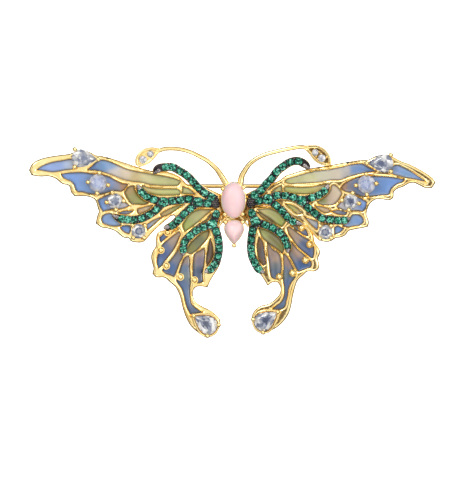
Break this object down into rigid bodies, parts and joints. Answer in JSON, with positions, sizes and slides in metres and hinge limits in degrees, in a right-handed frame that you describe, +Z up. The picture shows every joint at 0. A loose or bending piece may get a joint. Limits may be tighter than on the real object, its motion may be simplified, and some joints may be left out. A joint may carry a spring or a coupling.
{
  "type": "butterfly brooch",
  "caption": "Gold butterfly brooch with enamelled wings, gem-set branches, a cabochon body, wire antennae and a hinged pin with a roll-over safety catch.",
  "frame": {"origin": "on the flat back of the thorax plate, behind the middle of the oval cabochon", "axes": "+X to the viewer's right along the wing span, +Z up as it is worn, front faces -Y, +Y points into the garment"},
  "size_m": [0.0676, 0.0129, 0.0319],
  "materials": {
    "gold": "polished pale yellow gold plating",
    "dark_rail": "black rhodium plating",
    "emerald": "faceted green stones",
    "blue_enamel": "glossy shaded enamel",
    "green_enamel": "glossy shaded enamel",
    "clear_stone": "faceted and polished",
    "moonstone": "polished milky cabochon",
    "pink_opal": "polished translucent cabochon"
  },
  "bodies": {
    "brooch": {"thorax_setting": "gold", "oval_cabochon": "pink_opal", "drop_cabochon": "pink_opal", "left_forewing": "gold", "left_hindwing": "gold", "left_fore_branch": "dark_rail", "left_hind_branch": "dark_rail", "left_antenna": "gold", "left_antenna_stone_1": "clear_stone", "left_antenna_stone_2": "clear_stone", "left_fore_pear_stone": "clear_stone", "left_moonstone_stone": "moonstone", "left_round_stone": "moonstone", "left_small_stone": "clear_stone", "left_tail_pear_stone": "clear_stone", "left_enamel_tip": "blue_enamel", "left_enamel_long": "blue_enamel", "left_enamel_moon": "blue_enamel", "left_enamel_round": "blue_enamel", "left_enamel_lower": "blue_enamel", "left_enamel_second": "green_enamel", "left_enamel_triangle": "green_enamel", "left_enamel_khaki": "green_enamel", "left_enamel_green_one": "green_enamel", "left_enamel_green_two": "green_enamel", "left_enamel_upper": "blue_enamel", "left_enamel_middle": "blue_enamel", "left_enamel_neck": "blue_enamel", "left_enamel_inner": "blue_enamel", "right_forewing": "gold", "right_hindwing": "gold", "right_fore_branch": "dark_rail", "right_hind_branch": "dark_rail", "right_antenna": "gold", "right_antenna_stone_1": "clear_stone", "right_antenna_stone_2": "clear_stone", "right_fore_pear_stone": "clear_stone", "right_moonstone_stone": "moonstone", "right_round_stone": "moonstone", "right_small_stone": "clear_stone", "right_tail_pear_stone": "clear_stone", "right_enamel_tip": "blue_enamel", "right_enamel_long": "blue_enamel", "right_enamel_moon": "blue_enamel", "right_enamel_round": "blue_enamel", "right_enamel_lower": "blue_enamel", "right_enamel_second": "green_enamel", "right_enamel_triangle": "green_enamel", "right_enamel_khaki": "green_enamel", "right_enamel_green_one": "green_enamel", "right_enamel_green_two": "green_enamel", "right_enamel_upper": "blue_enamel", "right_enamel_middle": "blue_enamel", "right_enamel_neck": "blue_enamel", "right_enamel_inner": "blue_enamel", "hinge_base": "gold", "hinge_rivet": "gold", "catch_base": "gold"},
    "pin": {"pin_stem": "gold"},
    "sleeve": {"safety_sleeve": "gold"}
  },
  "joints": [
    {"name": "pin_hinge", "type": "hinge", "parent": "brooch", "child": "pin", "pos_m": [-0.014, 0.0048, 0.0023], "axis": [0, 0, 1], "range_deg": [0, 100]},
    {"name": "sleeve_turn", "type": "hinge", "parent": "brooch", "child": "sleeve", "pos_m": [0.014, 0.0048, 0.0023], "axis": [1, 0, 0], "range_deg": [-95, 0]}
  ]
}
